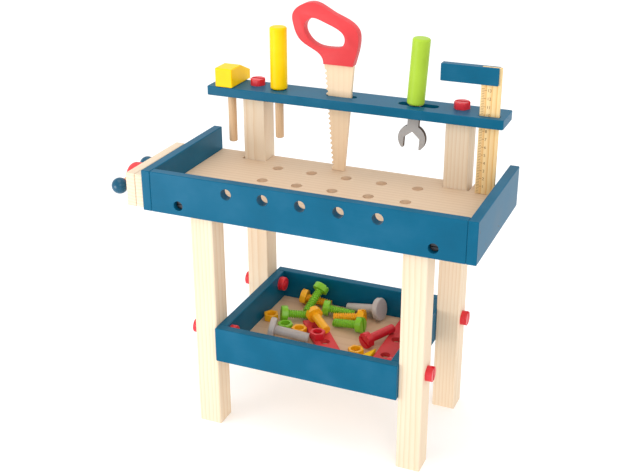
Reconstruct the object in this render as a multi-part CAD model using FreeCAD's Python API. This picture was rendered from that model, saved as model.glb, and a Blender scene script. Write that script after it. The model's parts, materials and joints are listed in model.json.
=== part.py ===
"""Child's wooden workbench: four legs, a tray-like worktop with peg holes, a tool shelf,
a hanging parts tray, a side vise, five hand tools and a trayful of loose bolts and nails.

Millimetres, +Z up. Sizes are worked out in the bench frame: x from the outer face of the left
panel, y from the front face of the front panel, z from the floor. write() moves each piece to
the part's own frame, whose origin is the middle of the overall footprint on the floor.
"""
import FreeCAD, Part
import math
import os

Vec = FreeCAD.Vector
X_AXIS, Y_AXIS, Z_AXIS = Vec(1, 0, 0), Vec(0, 1, 0), Vec(0, 0, 1)

# Worktop box
BOX_LENGTH = 420.0
BOX_DEPTH = 190.0
PANEL_THICKNESS = 12.0
PANEL_HEIGHT = 52.0
RIM_HEIGHT = 348.0
WORKTOP_DROP = 31.2
WORKTOP_THICKNESS = 16.0
EDGE_ROUND = 0.9
PAINTED_EDGE_ROUND = 1.2

# Peg holes in the worktop and the front panel
PEG_HOLE_RADIUS = 7.0
PEG_PITCH = 47.5
PEG_COLUMNS = 5
PEG_ROWS = 3
FIRST_ROW_FROM_PANEL = 39.5
FRONT_HOLES_BELOW_RIM = 14.6

# Legs and uprights
LEG_WIDTH = 30.5
LEG_DEPTH = 30.0
LEG_INSET = 58.0
LEG_ROUND = 1.6
REAR_LEG_PROUD = 4.0
NOTCH_INNER_GAP = 0.5
NOTCH_OUTER_GAP = 3.5
NOTCH_FRONT_GAP = 0.6

# Tool shelf
SHELF_ABOVE_WORKTOP = 87.2
SHELF_PAST_UPRIGHTS = 43.5
SHELF_DEPTH = 46.5
SHELF_THICKNESS = 12.0
SHELF_REAR_OVERHANG = 0.2
SHELF_CORNER = 2.5

# Parts tray
TRAY_UNDERSIDE = 98.8
TRAY_HEIGHT = 47.3
TRAY_WALL = 12.0
TRAY_FLOOR_THICKNESS = 5.0
TRAY_FLOOR_RAISE = 3.4
TRAY_FRONT_OVERHANG = 6.1
TRAY_REAR_OVERHANG = 9.5

# Big red assembly bolts and round nuts
HEAD_RADIUS = 10.0
HEAD_HEIGHT = 8.5
HEAD_CORNER = 1.08
HEAD_SLOT_WIDTH = 3.8
HEAD_SLOT_DEPTH = 3.4
SHANK_RADIUS = 5.0
NUT_RADIUS = 9.6
NUT_HEIGHT = 8.0
SEAT_CLEARANCE = 0.05
CUT_PAST = 1.0
BOLT_ABOVE_TRAY_UNDERSIDE = 33.7
FRONT_TRAY_BOLT_OFFSET = 1.0
BLIND_DEPTH = 24.0
BLIND_END_GAP = 2.0
NUT_ROUND = 1.5
SHANK_PAST_NUT = 1.0
SHELF_BOLT_TURNS = (65.0, 75.0)
TRAY_BOLT_TURN = 80.0

# Recessed bolts that hold the front panel to the worktop's edge
RECESS_RADIUS = 6.2
RECESS_DEPTH = 9.0
RECESS_OFFSET = 8.5
SMALL_HEAD_RADIUS = 5.8
SMALL_HEAD_HEIGHT = 3.0
SMALL_SHANK_RADIUS = 2.5
SMALL_SHANK_LENGTH = 28.0
SMALL_SLOT_WIDTH = 1.6
SMALL_SLOT_DEPTH = 1.4

# Staples through the side panels
STAPLE_WIRE = 1.1
STAPLE_CROWN = 5.8
STAPLE_LEG = 22.0
STAPLE_IN_PANEL = 0.65
STAPLE_BELOW_RIM = 14.0
STAPLE_ABOVE_BOTTOM = 10.5
STAPLE_BELOW_MIDDLE = 3.3
STAPLE_BEHIND_PANEL = (27.5, 84.5)
STAPLE_TILTS = (55.0, 60.0, 35.0)

# Vise
JAW_FRONT = 9.0
JAW_LENGTH = 126.0
JAW_HEIGHT = 43.0
FIXED_JAW_THICKNESS = 15.0
MOVING_JAW_THICKNESS = 12.4
JAW_GAP = 0.6
JAW_TOP_BELOW_RIM = 10.2
SCREW_RADIUS = 7.0
SCREW_AXIS_FROM_JAW_FRONT = 47.0
SCREW_FLANGE_RADIUS = 10.0
SCREW_FLANGE_THICKNESS = 4.0
SCREW_END_GAP = 3.0
BORE_SKIN = 2.0
PIN_RADIUS = 4.0
PIN_FROM_JAW_END = 20.0
PIN_SEAT_DEPTH = 8.0
HUB_RADIUS = 17.0
HUB_LENGTH = 23.2
HUB_ROUND = 9.0
HUB_SOCKET = 12.0
HANDLE_BAR_RADIUS = 4.2
HANDLE_BAR_FROM_HUB_END = 5.2
HANDLE_BALL_RADIUS = 10.4
HANDLE_HALF_SPAN = 34.0
HANDLE_TILT_DEG = 5.0
BALL_SEAT = 7.0
BALL_FLAT = 1.0
RUNNING_GAP = 0.3
PIVOT_CLEARANCE = 0.08

# Hand tools on the shelf
TOOL_GAP = 0.3
HANG_HOLE_RADIUS = 6.25
DOWEL_RADIUS = 5.5
DOWEL_ROUND = 1.5
HAMMER_FROM_UPRIGHT = 34.3
HAMMER_WIDTH = 24.0
HAMMER_LENGTH = 54.0
HAMMER_HEIGHT = 24.5
HAMMER_PEEN_HEIGHT = 12.5
HAMMER_FACE_LENGTH = 27.0
HAMMER_FROM_SHELF_FRONT = 0.5
HAMMER_DOWEL_LENGTH = 79.0
SCREWDRIVER_FROM_UPRIGHT = 33.9
GRIP_RADIUS = 11.0
SCREWDRIVER_GRIP = 80.0
SCREWDRIVER_SHAFT = 65.5
DOWEL_SOCKET = 18.0
GRIP_ROUND = 2.5
SAW_FROM_MIDDLE = -19.6
SAW_THICKNESS = 5.0
SAW_HANDLE_THICKNESS = 12.0
SAW_TIP_WIDTH = 16.4
SAW_NECK_WIDTH = 39.2
SAW_BLADE_REACH = 139.0
SAW_TANG = 16.0
SAW_TOOTH_PITCH = 6.5
SAW_GULLET_RADIUS = 2.3
SAW_SLOT_LENGTH = 41.4
SAW_SLOT_WIDTH = 10.0
SAW_SLOT_SHIFT = 2.9
WRENCH_FROM_UPRIGHT = 56.2
WRENCH_TILT_DEG = 3.5
WRENCH_GRIP = 82.0
WRENCH_THICKNESS = 6.5
WRENCH_NECK = 14.5
WRENCH_HEAD_RADIUS = 17.8
WRENCH_DROP = 44.3
WRENCH_MOUTH = 20.0
WRENCH_CORNER_RISE = 0.7
WRENCH_APEX_RISE = 9.0
WRENCH_REACH = 57.3
WRENCH_TANG = 30.0
WRENCH_SLOT_LENGTH = 51.6
WRENCH_SLOT_WIDTH = 14.0
WRENCH_SLOT_SHIFT = 4.0
SQUARE_FROM_UPRIGHT = 27.0
SQUARE_BLADE_WIDTH = 24.0
SQUARE_BLADE_THICKNESS = 4.0
SQUARE_BLADE_TOP = 158.0
SQUARE_STOCK_LENGTH = 70.0
SQUARE_STOCK_HEIGHT = 21.0
SQUARE_STOCK_THICKNESS = 11.0
SQUARE_BLADE_PROUD = 3.0
SQUARE_FROM_SHELF_FRONT = 12.5
SQUARE_SLOT_MARGIN = 1.2
BLADE_ROUND = 0.6

# Loose parts in the tray
LOOSE_HEAD_RADIUS = 10.8
LOOSE_HEAD_HEIGHT = 8.5
LOOSE_SHANK_RADIUS = 5.8
LOOSE_SHANK_LENGTH = 35.0
LONG_SHANK_LENGTH = 42.0
NAIL_HEAD_RADIUS = 15.5
NAIL_HEAD_HEIGHT = 8.0
NAIL_SHANK_RADIUS = 6.2
NAIL_SHANK_LENGTH = 45.0
LOOSE_NUT_RADIUS = 10.5
LOOSE_NUT_HEIGHT = 9.0
BAR_LENGTH = 126.0
BAR_WIDTH = 27.0
BAR_THICKNESS = 6.0
BAR_PITCH = 42.0
WEDGE_LENGTH = 25.0
WEDGE_WIDTH = 13.0
WEDGE_HEIGHT = 8.0
LEAN_LIFT = 17.0
LOOSE_NUT_CLEARANCE = 0.4
BAR_HOLE_CLEARANCE = 0.6

# Levels and lines that follow from the sizes above
WORKTOP_TOP = RIM_HEIGHT - WORKTOP_DROP
WORKTOP_UNDERSIDE = WORKTOP_TOP - WORKTOP_THICKNESS
WORKTOP_MIDDLE = WORKTOP_TOP - WORKTOP_THICKNESS / 2
PANEL_BOTTOM = RIM_HEIGHT - PANEL_HEIGHT
BENCH_MIDDLE = BOX_LENGTH / 2
UPRIGHT_REAR = BOX_DEPTH + REAR_LEG_PROUD
SHELF_UNDERSIDE = WORKTOP_TOP + SHELF_ABOVE_WORKTOP
SHELF_TOP = SHELF_UNDERSIDE + SHELF_THICKNESS
SHELF_REAR = UPRIGHT_REAR + SHELF_REAR_OVERHANG
SHELF_FRONT = SHELF_REAR - SHELF_DEPTH
TOOL_LINE = (SHELF_FRONT + SHELF_REAR) / 2
TOOL_SEAT = SHELF_TOP + TOOL_GAP
LEFT_LEG_X = LEG_INSET
RIGHT_LEG_X = BOX_LENGTH - LEG_INSET - LEG_WIDTH
LEG_CENTRES = (LEFT_LEG_X + LEG_WIDTH / 2, RIGHT_LEG_X + LEG_WIDTH / 2)
HAMMER_X = LEG_CENTRES[0] - HAMMER_FROM_UPRIGHT
SCREWDRIVER_X = LEG_CENTRES[0] + SCREWDRIVER_FROM_UPRIGHT
SAW_X = BENCH_MIDDLE + SAW_FROM_MIDDLE
WRENCH_X = LEG_CENTRES[1] - WRENCH_FROM_UPRIGHT
SQUARE_BLADE_X = LEG_CENTRES[1] + SQUARE_FROM_UPRIGHT
SQUARE_Y = SHELF_FRONT + SQUARE_FROM_SHELF_FRONT
FRONT_LEG_Y = PANEL_THICKNESS
REAR_LEG_Y = UPRIGHT_REAR - LEG_DEPTH
TRAY_LEFT = LEFT_LEG_X + LEG_WIDTH
TRAY_RIGHT = RIGHT_LEG_X
TRAY_FRONT = FRONT_LEG_Y - TRAY_FRONT_OVERHANG
TRAY_REAR = UPRIGHT_REAR + TRAY_REAR_OVERHANG
TRAY_FLOOR_TOP = TRAY_UNDERSIDE + TRAY_FLOOR_RAISE + TRAY_FLOOR_THICKNESS
TRAY_BOLT_Z = TRAY_UNDERSIDE + BOLT_ABOVE_TRAY_UNDERSIDE
TRAY_BOLT_YS = (FRONT_LEG_Y + LEG_DEPTH / 2 + FRONT_TRAY_BOLT_OFFSET, REAR_LEG_Y + LEG_DEPTH / 2)
JAW_TOP = RIM_HEIGHT - JAW_TOP_BELOW_RIM
SCREW_Y = JAW_FRONT + SCREW_AXIS_FROM_JAW_FRONT
SCREW_Z = JAW_TOP - JAW_HEIGHT / 2
MOVING_JAW_INNER = -FIXED_JAW_THICKNESS - JAW_GAP
MOVING_JAW_OUTER = MOVING_JAW_INNER - MOVING_JAW_THICKNESS
HUB_INNER = MOVING_JAW_OUTER - RUNNING_GAP
HUB_OUTER = HUB_INNER - HUB_LENGTH
HANDLE_BAR_X = HUB_OUTER + HANDLE_BAR_FROM_HUB_END
SCREW_END = PANEL_THICKNESS - SCREW_END_GAP
ORIGIN = Vec((BOX_LENGTH + HANDLE_BAR_X - HANDLE_BALL_RADIUS) / 2, TRAY_REAR / 2, 0)


def write(node, *solids):
    """Move the solids to the part's own frame and write them as one named node."""
    placed = []
    for solid in solids:
        copy = solid.copy()
        copy.translate(-ORIGIN)
        placed.append(copy)
    shape = placed[0] if len(placed) == 1 else Part.makeCompound(placed)
    shape.exportStep(f"parts/{node}.step")


def block(x0, x1, y0, y1, z0, z1):
    return Part.makeBox(x1 - x0, y1 - y0, z1 - z0, Vec(x0, y0, z0))


def softened(solid, radius):
    return solid.makeFillet(radius, solid.Edges)


def board(x0, x1, y0, y1, z0, z1, radius=EDGE_ROUND):
    return softened(block(x0, x1, y0, y1, z0, z1), radius)


def rod(start, direction, radius, length):
    return Part.makeCylinder(radius, length, start, direction)


def round_rims(solid, axis, radius, at=None):
    """Round the circular edges of a turned solid, all of them or those at one place on axis."""
    rims = [edge for edge in solid.Edges
            if isinstance(edge.Curve, Part.Circle) and edge.Closed
            and (at is None or abs(edge.Curve.Center.dot(axis) - at) < 1e-6)]
    return solid.makeFillet(radius, rims)


def slot_prism(x_middle, y_middle, length, width, z0, z1):
    """A slot with round ends along X."""
    half = length / 2 - width / 2
    middle = block(x_middle - half, x_middle + half, y_middle - width / 2, y_middle + width / 2, z0, z1)
    ends = [rod(Vec(x_middle + side * half, y_middle, z0), Z_AXIS, width / 2, z1 - z0) for side in (-1, 1)]
    return middle.fuse(ends).removeSplitter()


def in_plane(wire, thickness, y_middle):
    """Extrude a closed wire drawn at y = 0 into a plate centred on y_middle."""
    plate = Part.Face(wire).extrude(Vec(0, thickness, 0))
    plate.translate(Vec(0, y_middle - thickness / 2, 0))
    return plate


def polygon_xz(points):
    return Part.makePolygon([Vec(x, 0, z) for x, z in points + points[:1]])


def aligned(solid, seat, direction):
    """Turn a solid made along +Z to a direction and put its origin at the seat."""
    solid = solid.copy()
    solid.Placement = FreeCAD.Placement(seat, FreeCAD.Rotation(Z_AXIS, direction))
    return solid


def hexagon_prism(radius, height):
    corners = [Vec(radius * math.cos(math.radians(60 * i)), radius * math.sin(math.radians(60 * i)), 0)
               for i in range(7)]
    return Part.Face(Part.makePolygon(corners)).extrude(Vec(0, 0, height))


def slotted_bolt(seat, direction, shank_length, head_radius=HEAD_RADIUS, head_height=HEAD_HEIGHT,
                 shank_radius=SHANK_RADIUS, slot_width=HEAD_SLOT_WIDTH, slot_depth=HEAD_SLOT_DEPTH,
                 turn_deg=0.0):
    """A bolt whose hexagonal head sits on the seat and whose shank runs along direction.

    The head's corners are turned off to a round, and the slot is turned about the bolt's axis."""
    head = hexagon_prism(head_radius * HEAD_CORNER, head_height)
    head.translate(Vec(0, 0, -head_height))
    head = head.common(round_rims(rod(Vec(0, 0, -head_height), Z_AXIS, head_radius, head_height), Z_AXIS,
                                  head_height / 6, -head_height))
    slot = block(-head_radius, head_radius, -slot_width / 2, slot_width / 2,
                 -head_height, slot_depth - head_height)
    shank = rod(Vec(0, 0, 0), Z_AXIS, shank_radius, shank_length)
    tip = round_rims(shank, Z_AXIS, shank_radius / 5, shank_length)
    bolt = head.cut(slot).fuse(tip).removeSplitter()
    bolt.rotate(Vec(0, 0, 0), Z_AXIS, turn_deg)
    return aligned(bolt, seat, direction)


def staple(x_face, inward, y, z, tilt_deg):
    """A staple flush with a side panel's outer face; inward is +1 or -1 along X."""
    half = STAPLE_CROWN / 2
    wire = STAPLE_WIRE / 2
    crown = block(0, STAPLE_WIRE, -half, half, -wire, wire)
    legs = [block(0, STAPLE_LEG, side * half - wire, side * half + wire, -wire, wire) for side in (-1, 1)]
    body = crown.fuse(legs).removeSplitter()
    body.rotate(Vec(0, 0, 0), X_AXIS, tilt_deg)
    if inward < 0:
        body = body.mirror(Vec(0, 0, 0), X_AXIS)
    body.translate(Vec(x_face, y, z))
    return body


def mirrored(x):
    return BOX_LENGTH - x


def peg_points():
    columns = [BENCH_MIDDLE + (i - (PEG_COLUMNS - 1) / 2) * PEG_PITCH for i in range(PEG_COLUMNS)]
    rows = [PANEL_THICKNESS + FIRST_ROW_FROM_PANEL + j * PEG_PITCH for j in range(PEG_ROWS)]
    return columns, rows


def make_staples():
    """Two staples per side into the front panel's end and two into the worktop's end."""
    middle_y = PANEL_THICKNESS * STAPLE_IN_PANEL
    low_z = WORKTOP_MIDDLE - STAPLE_BELOW_MIDDLE
    places = [(middle_y, RIM_HEIGHT - STAPLE_BELOW_RIM, STAPLE_TILTS[0]),
              (middle_y, PANEL_BOTTOM + STAPLE_ABOVE_BOTTOM, STAPLE_TILTS[1]),
              (PANEL_THICKNESS + STAPLE_BEHIND_PANEL[0], low_z, STAPLE_TILTS[1]),
              (PANEL_THICKNESS + STAPLE_BEHIND_PANEL[1], low_z, STAPLE_TILTS[2])]
    left = [staple(0, 1, y, z, tilt) for y, z, tilt in places]
    right = [staple(BOX_LENGTH, -1, y, z, -tilt) for y, z, tilt in places]
    return left + right


def make_box(staples):
    """Front and side panels and the worktop board, with everything that pierces them."""
    columns, rows = peg_points()
    recess_xs = (LEFT_LEG_X - RECESS_OFFSET, mirrored(LEFT_LEG_X - RECESS_OFFSET))
    front = board(PANEL_THICKNESS, BOX_LENGTH - PANEL_THICKNESS, 0, PANEL_THICKNESS,
                  PANEL_BOTTOM, RIM_HEIGHT, PAINTED_EDGE_ROUND)
    cuts = [rod(Vec(x, 0, RIM_HEIGHT - FRONT_HOLES_BELOW_RIM), Y_AXIS, PEG_HOLE_RADIUS, PANEL_THICKNESS)
            for x in columns]
    for x in recess_xs:
        cuts.append(rod(Vec(x, 0, WORKTOP_MIDDLE), Y_AXIS, RECESS_RADIUS, RECESS_DEPTH))
        cuts.append(rod(Vec(x, 0, WORKTOP_MIDDLE), Y_AXIS, SMALL_SHANK_RADIUS + SEAT_CLEARANCE,
                        PANEL_THICKNESS))
    write("front_panel", front.cut(cuts + staples))

    sides = {}
    for side, x0 in (("left", 0.0), ("right", BOX_LENGTH - PANEL_THICKNESS)):
        panel = board(x0, x0 + PANEL_THICKNESS, 0, BOX_DEPTH, PANEL_BOTTOM, RIM_HEIGHT, PAINTED_EDGE_ROUND)
        sides[side] = panel.cut(staples)
    write("right_side_panel", sides["right"])
    write("left_side_panel", sides["left"].cut(vise_bores(0, PANEL_THICKNESS - BORE_SKIN)))

    top = board(PANEL_THICKNESS, BOX_LENGTH - PANEL_THICKNESS, PANEL_THICKNESS, BOX_DEPTH,
                WORKTOP_UNDERSIDE, WORKTOP_TOP, EDGE_ROUND)
    cuts = [rod(Vec(x, y, WORKTOP_UNDERSIDE), Z_AXIS, PEG_HOLE_RADIUS, WORKTOP_THICKNESS)
            for x in columns for y in rows]
    notch_front = REAR_LEG_Y - NOTCH_FRONT_GAP
    notch_left = LEFT_LEG_X - NOTCH_OUTER_GAP
    notch_right = LEFT_LEG_X + LEG_WIDTH + NOTCH_INNER_GAP
    for x0, x1 in ((notch_left, notch_right), (mirrored(notch_right), mirrored(notch_left))):
        cuts.append(block(x0, x1, notch_front, BOX_DEPTH, WORKTOP_UNDERSIDE, WORKTOP_TOP))
    for x in LEG_CENTRES:
        cuts.append(rod(Vec(x, FRONT_LEG_Y + LEG_DEPTH / 2, WORKTOP_UNDERSIDE), Z_AXIS,
                        SHANK_RADIUS + SEAT_CLEARANCE, WORKTOP_THICKNESS))
        cuts.append(rod(Vec(x, notch_front, WORKTOP_MIDDLE), -Y_AXIS,
                        SHANK_RADIUS + SEAT_CLEARANCE, BLIND_DEPTH))
    for x in recess_xs:
        cuts.append(rod(Vec(x, PANEL_THICKNESS, WORKTOP_MIDDLE), Y_AXIS,
                        SMALL_SHANK_RADIUS + SEAT_CLEARANCE, SMALL_SHANK_LENGTH))
    write("worktop_board", top.cut(cuts + staples))

    small_bolts = [slotted_bolt(Vec(x, RECESS_DEPTH, WORKTOP_MIDDLE), Y_AXIS, SMALL_SHANK_LENGTH,
                                SMALL_HEAD_RADIUS, SMALL_HEAD_HEIGHT, SMALL_SHANK_RADIUS,
                                SMALL_SLOT_WIDTH, SMALL_SLOT_DEPTH)
                   for x in recess_xs]
    write("recessed_front_bolts", *small_bolts)
    write("panel_staples", *staples)


def make_legs():
    """Front legs under the worktop and rear uprights that run up to the shelf."""
    def leg(x0, y0, height):
        post = block(x0, x0 + LEG_WIDTH, y0, y0 + LEG_DEPTH, 0, height)
        upright_edges = [edge for edge in post.Edges
                         if abs(edge.tangentAt(edge.FirstParameter).z) > 0.99]
        return post.makeFillet(LEG_ROUND, upright_edges)

    hole_radius = SHANK_RADIUS + SEAT_CLEARANCE
    for side, x0, middle in zip(("left", "right"), (LEFT_LEG_X, RIGHT_LEG_X), LEG_CENTRES):
        tray_holes = [rod(Vec(x0, y, TRAY_BOLT_Z), X_AXIS, hole_radius, LEG_WIDTH) for y in TRAY_BOLT_YS]
        front_y = FRONT_LEG_Y + LEG_DEPTH / 2
        rear_y = REAR_LEG_Y + LEG_DEPTH / 2
        front = leg(x0, FRONT_LEG_Y, WORKTOP_UNDERSIDE)
        front = front.cut([tray_holes[0], rod(Vec(middle, front_y, WORKTOP_UNDERSIDE), -Z_AXIS,
                                              hole_radius, BLIND_DEPTH)])
        write(f"front_{side}_leg", front)
        rear = leg(x0, REAR_LEG_Y, SHELF_UNDERSIDE)
        rear = rear.cut([tray_holes[1],
                         rod(Vec(middle, rear_y, SHELF_UNDERSIDE), -Z_AXIS, hole_radius, BLIND_DEPTH),
                         rod(Vec(middle, REAR_LEG_Y, WORKTOP_MIDDLE), Y_AXIS, hole_radius, LEG_DEPTH)])
        write(f"rear_{side}_upright", rear)

    reach = BLIND_DEPTH - BLIND_END_GAP
    write("front_leg_bolts", *[slotted_bolt(Vec(x, FRONT_LEG_Y + LEG_DEPTH / 2, WORKTOP_TOP), -Z_AXIS,
                                            WORKTOP_THICKNESS + reach) for x in LEG_CENTRES])
    write("upright_bolts", *[slotted_bolt(Vec(x, UPRIGHT_REAR, WORKTOP_MIDDLE), -Y_AXIS, LEG_DEPTH + reach)
                             for x in LEG_CENTRES])
    write("shelf_bolts", *[slotted_bolt(Vec(x, REAR_LEG_Y + LEG_DEPTH / 2, SHELF_TOP), -Z_AXIS,
                                        SHELF_THICKNESS + reach, turn_deg=turn)
                           for x, turn in zip(LEG_CENTRES, SHELF_BOLT_TURNS)])


def make_shelf():
    """The tool shelf with a hole or slot for each tool."""
    plank = block(LEFT_LEG_X - SHELF_PAST_UPRIGHTS, RIGHT_LEG_X + LEG_WIDTH + SHELF_PAST_UPRIGHTS,
                  SHELF_FRONT, SHELF_REAR, SHELF_UNDERSIDE, SHELF_TOP)
    corners = [edge for edge in plank.Edges if abs(edge.tangentAt(edge.FirstParameter).z) > 0.99]
    plank = plank.makeFillet(SHELF_CORNER, corners)
    rims = [edge for edge in plank.Edges if abs(edge.BoundBox.ZLength) < 1e-6]
    plank = plank.makeFillet(EDGE_ROUND, rims)
    cuts = [rod(Vec(x, TOOL_LINE, SHELF_UNDERSIDE), Z_AXIS, HANG_HOLE_RADIUS, SHELF_THICKNESS)
            for x in (HAMMER_X, SCREWDRIVER_X)]
    cuts.append(slot_prism(SAW_X + SAW_SLOT_SHIFT, TOOL_LINE, SAW_SLOT_LENGTH, SAW_SLOT_WIDTH,
                           SHELF_UNDERSIDE, SHELF_TOP))
    cuts.append(slot_prism(WRENCH_X + WRENCH_SLOT_SHIFT, TOOL_LINE, WRENCH_SLOT_LENGTH, WRENCH_SLOT_WIDTH,
                           SHELF_UNDERSIDE, SHELF_TOP))
    margin = SQUARE_SLOT_MARGIN
    cuts.append(block(SQUARE_BLADE_X - margin, SQUARE_BLADE_X + SQUARE_BLADE_WIDTH + margin,
                      SQUARE_Y - SQUARE_BLADE_THICKNESS / 2 - margin,
                      SQUARE_Y + SQUARE_BLADE_THICKNESS / 2 + margin, SHELF_UNDERSIDE, SHELF_TOP))
    for x in LEG_CENTRES:
        cuts.append(rod(Vec(x, REAR_LEG_Y + LEG_DEPTH / 2, SHELF_UNDERSIDE), Z_AXIS,
                        SHANK_RADIUS + SEAT_CLEARANCE, SHELF_THICKNESS))
    write("tool_shelf", plank.cut(cuts))


def make_tray():
    """Open tray between the legs, with the bolts and round nuts that hang it there."""
    top = TRAY_UNDERSIDE + TRAY_HEIGHT
    write("tray_front", board(TRAY_LEFT, TRAY_RIGHT, TRAY_FRONT, TRAY_FRONT + TRAY_WALL,
                              TRAY_UNDERSIDE, top, PAINTED_EDGE_ROUND))
    write("tray_back", board(TRAY_LEFT, TRAY_RIGHT, TRAY_REAR - TRAY_WALL, TRAY_REAR,
                             TRAY_UNDERSIDE, top, PAINTED_EDGE_ROUND))
    for side, x0 in (("left", TRAY_LEFT), ("right", TRAY_RIGHT - TRAY_WALL)):
        wall = board(x0, x0 + TRAY_WALL, TRAY_FRONT + TRAY_WALL, TRAY_REAR - TRAY_WALL,
                     TRAY_UNDERSIDE, top, PAINTED_EDGE_ROUND)
        holes = [rod(Vec(x0, y, TRAY_BOLT_Z), X_AXIS, SHANK_RADIUS + SEAT_CLEARANCE, TRAY_WALL)
                 for y in TRAY_BOLT_YS]
        write(f"tray_{side}_side", wall.cut(holes))
    write("tray_floor", block(TRAY_LEFT + TRAY_WALL, TRAY_RIGHT - TRAY_WALL, TRAY_FRONT + TRAY_WALL,
                              TRAY_REAR - TRAY_WALL, TRAY_FLOOR_TOP - TRAY_FLOOR_THICKNESS,
                              TRAY_FLOOR_TOP))
    bolts, nuts = [], []
    length = LEG_WIDTH + TRAY_WALL + NUT_HEIGHT + SHANK_PAST_NUT
    for outer, inner, inward in ((LEFT_LEG_X, TRAY_LEFT + TRAY_WALL, X_AXIS),
                                 (RIGHT_LEG_X + LEG_WIDTH, TRAY_RIGHT - TRAY_WALL, -X_AXIS)):
        for y in TRAY_BOLT_YS:
            bolts.append(slotted_bolt(Vec(outer, y, TRAY_BOLT_Z), inward, length, turn_deg=TRAY_BOLT_TURN))
            nut = round_rims(rod(Vec(0, 0, 0), Z_AXIS, NUT_RADIUS, NUT_HEIGHT), Z_AXIS, NUT_ROUND, NUT_HEIGHT)
            nut = nut.cut(rod(Vec(0, 0, 0), Z_AXIS, SHANK_RADIUS + SEAT_CLEARANCE, NUT_HEIGHT))
            nuts.append(aligned(nut, Vec(inner, y, TRAY_BOLT_Z), inward))
    write("tray_bolts", *bolts)
    write("tray_nuts", *nuts)


def vise_bores(x0, x1):
    """Clearance bores for the screw and the guide pins between two places along X."""
    bores = [rod(Vec(x0, SCREW_Y, SCREW_Z), X_AXIS, SCREW_RADIUS + RUNNING_GAP, x1 - x0)]
    for y in pin_ys():
        bores.append(rod(Vec(x0, y, SCREW_Z), X_AXIS, PIN_RADIUS + RUNNING_GAP, x1 - x0))
    return bores


def pin_ys():
    return (JAW_FRONT + PIN_FROM_JAW_END, JAW_FRONT + JAW_LENGTH - PIN_FROM_JAW_END)


def make_vise():
    """Side vise: fixed jaw, sliding jaw on two pins, and a screw turned by a ball-ended bar."""
    jaw_rear = JAW_FRONT + JAW_LENGTH
    jaw_bottom = JAW_TOP - JAW_HEIGHT
    fixed = board(-FIXED_JAW_THICKNESS, 0, JAW_FRONT, jaw_rear, jaw_bottom, JAW_TOP)
    write("vise_fixed_jaw", fixed.cut(vise_bores(-FIXED_JAW_THICKNESS, 0)))

    moving = board(MOVING_JAW_OUTER, MOVING_JAW_INNER, JAW_FRONT, jaw_rear, jaw_bottom, JAW_TOP)
    recess = SCREW_FLANGE_THICKNESS + 2 * RUNNING_GAP
    cuts = [rod(Vec(MOVING_JAW_OUTER, SCREW_Y, SCREW_Z), X_AXIS, SCREW_RADIUS + PIVOT_CLEARANCE,
                MOVING_JAW_THICKNESS),
            rod(Vec(MOVING_JAW_INNER, SCREW_Y, SCREW_Z), -X_AXIS, SCREW_FLANGE_RADIUS + RUNNING_GAP, recess)]
    for y in pin_ys():
        cuts.append(rod(Vec(MOVING_JAW_INNER, y, SCREW_Z), -X_AXIS, PIN_RADIUS + SEAT_CLEARANCE,
                        PIN_SEAT_DEPTH))
    write("vise_moving_jaw", moving.cut(cuts))
    pin_start = MOVING_JAW_INNER - PIN_SEAT_DEPTH
    write("vise_guide_pins", *[rod(Vec(pin_start, y, SCREW_Z), X_AXIS, PIN_RADIUS, SCREW_END - pin_start)
                               for y in pin_ys()])

    screw_start = HUB_INNER - HUB_SOCKET
    flange_outer = MOVING_JAW_INNER - recess + RUNNING_GAP
    screw = rod(Vec(screw_start, SCREW_Y, SCREW_Z), X_AXIS, SCREW_RADIUS, SCREW_END - screw_start)
    flange = rod(Vec(flange_outer, SCREW_Y, SCREW_Z), X_AXIS, SCREW_FLANGE_RADIUS, SCREW_FLANGE_THICKNESS)
    write("vise_screw", screw.fuse(flange).removeSplitter())

    bar_middle = Vec(HANDLE_BAR_X, SCREW_Y, SCREW_Z)
    along = Vec(0, math.cos(math.radians(HANDLE_TILT_DEG)), math.sin(math.radians(HANDLE_TILT_DEG)))
    hub = rod(Vec(HUB_OUTER, SCREW_Y, SCREW_Z), X_AXIS, HUB_RADIUS, HUB_LENGTH)
    hub = round_rims(hub, X_AXIS, HUB_ROUND, HUB_OUTER)
    socket = rod(Vec(HUB_INNER, SCREW_Y, SCREW_Z), -X_AXIS, SCREW_RADIUS + SEAT_CLEARANCE, HUB_SOCKET)
    bar_hole = rod(bar_middle - along * HUB_RADIUS, along, HANDLE_BAR_RADIUS + SEAT_CLEARANCE,
                   2 * HUB_RADIUS)
    write("vise_hub", hub.cut([socket, bar_hole]))
    half_bar = HANDLE_HALF_SPAN - HANDLE_BALL_RADIUS + BALL_SEAT
    write("vise_handle_bar", rod(bar_middle - along * half_bar, along, HANDLE_BAR_RADIUS, 2 * half_bar))
    for name, way in (("front", -along), ("rear", along)):
        ball = Part.makeSphere(HANDLE_BALL_RADIUS, bar_middle + way * HANDLE_HALF_SPAN)
        face = bar_middle + way * (half_bar - BALL_SEAT)
        flat = rod(face - way * HANDLE_BALL_RADIUS, way, HANDLE_BALL_RADIUS * 2,
                   HANDLE_BALL_RADIUS + BALL_FLAT)
        seat = rod(face, way, HANDLE_BAR_RADIUS + SEAT_CLEARANCE, BALL_SEAT)
        write(f"vise_handle_{name}_ball", ball.cut([flat, seat]))


def grip(x, length, socket_radius, socket_depth):
    """A turned grip standing on the shelf with a socket from below for its shaft."""
    body = rod(Vec(x, TOOL_LINE, TOOL_SEAT), Z_AXIS, GRIP_RADIUS, length)
    body = round_rims(body, Z_AXIS, GRIP_ROUND)
    return body.cut(rod(Vec(x, TOOL_LINE, TOOL_SEAT), Z_AXIS, socket_radius, socket_depth))


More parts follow.
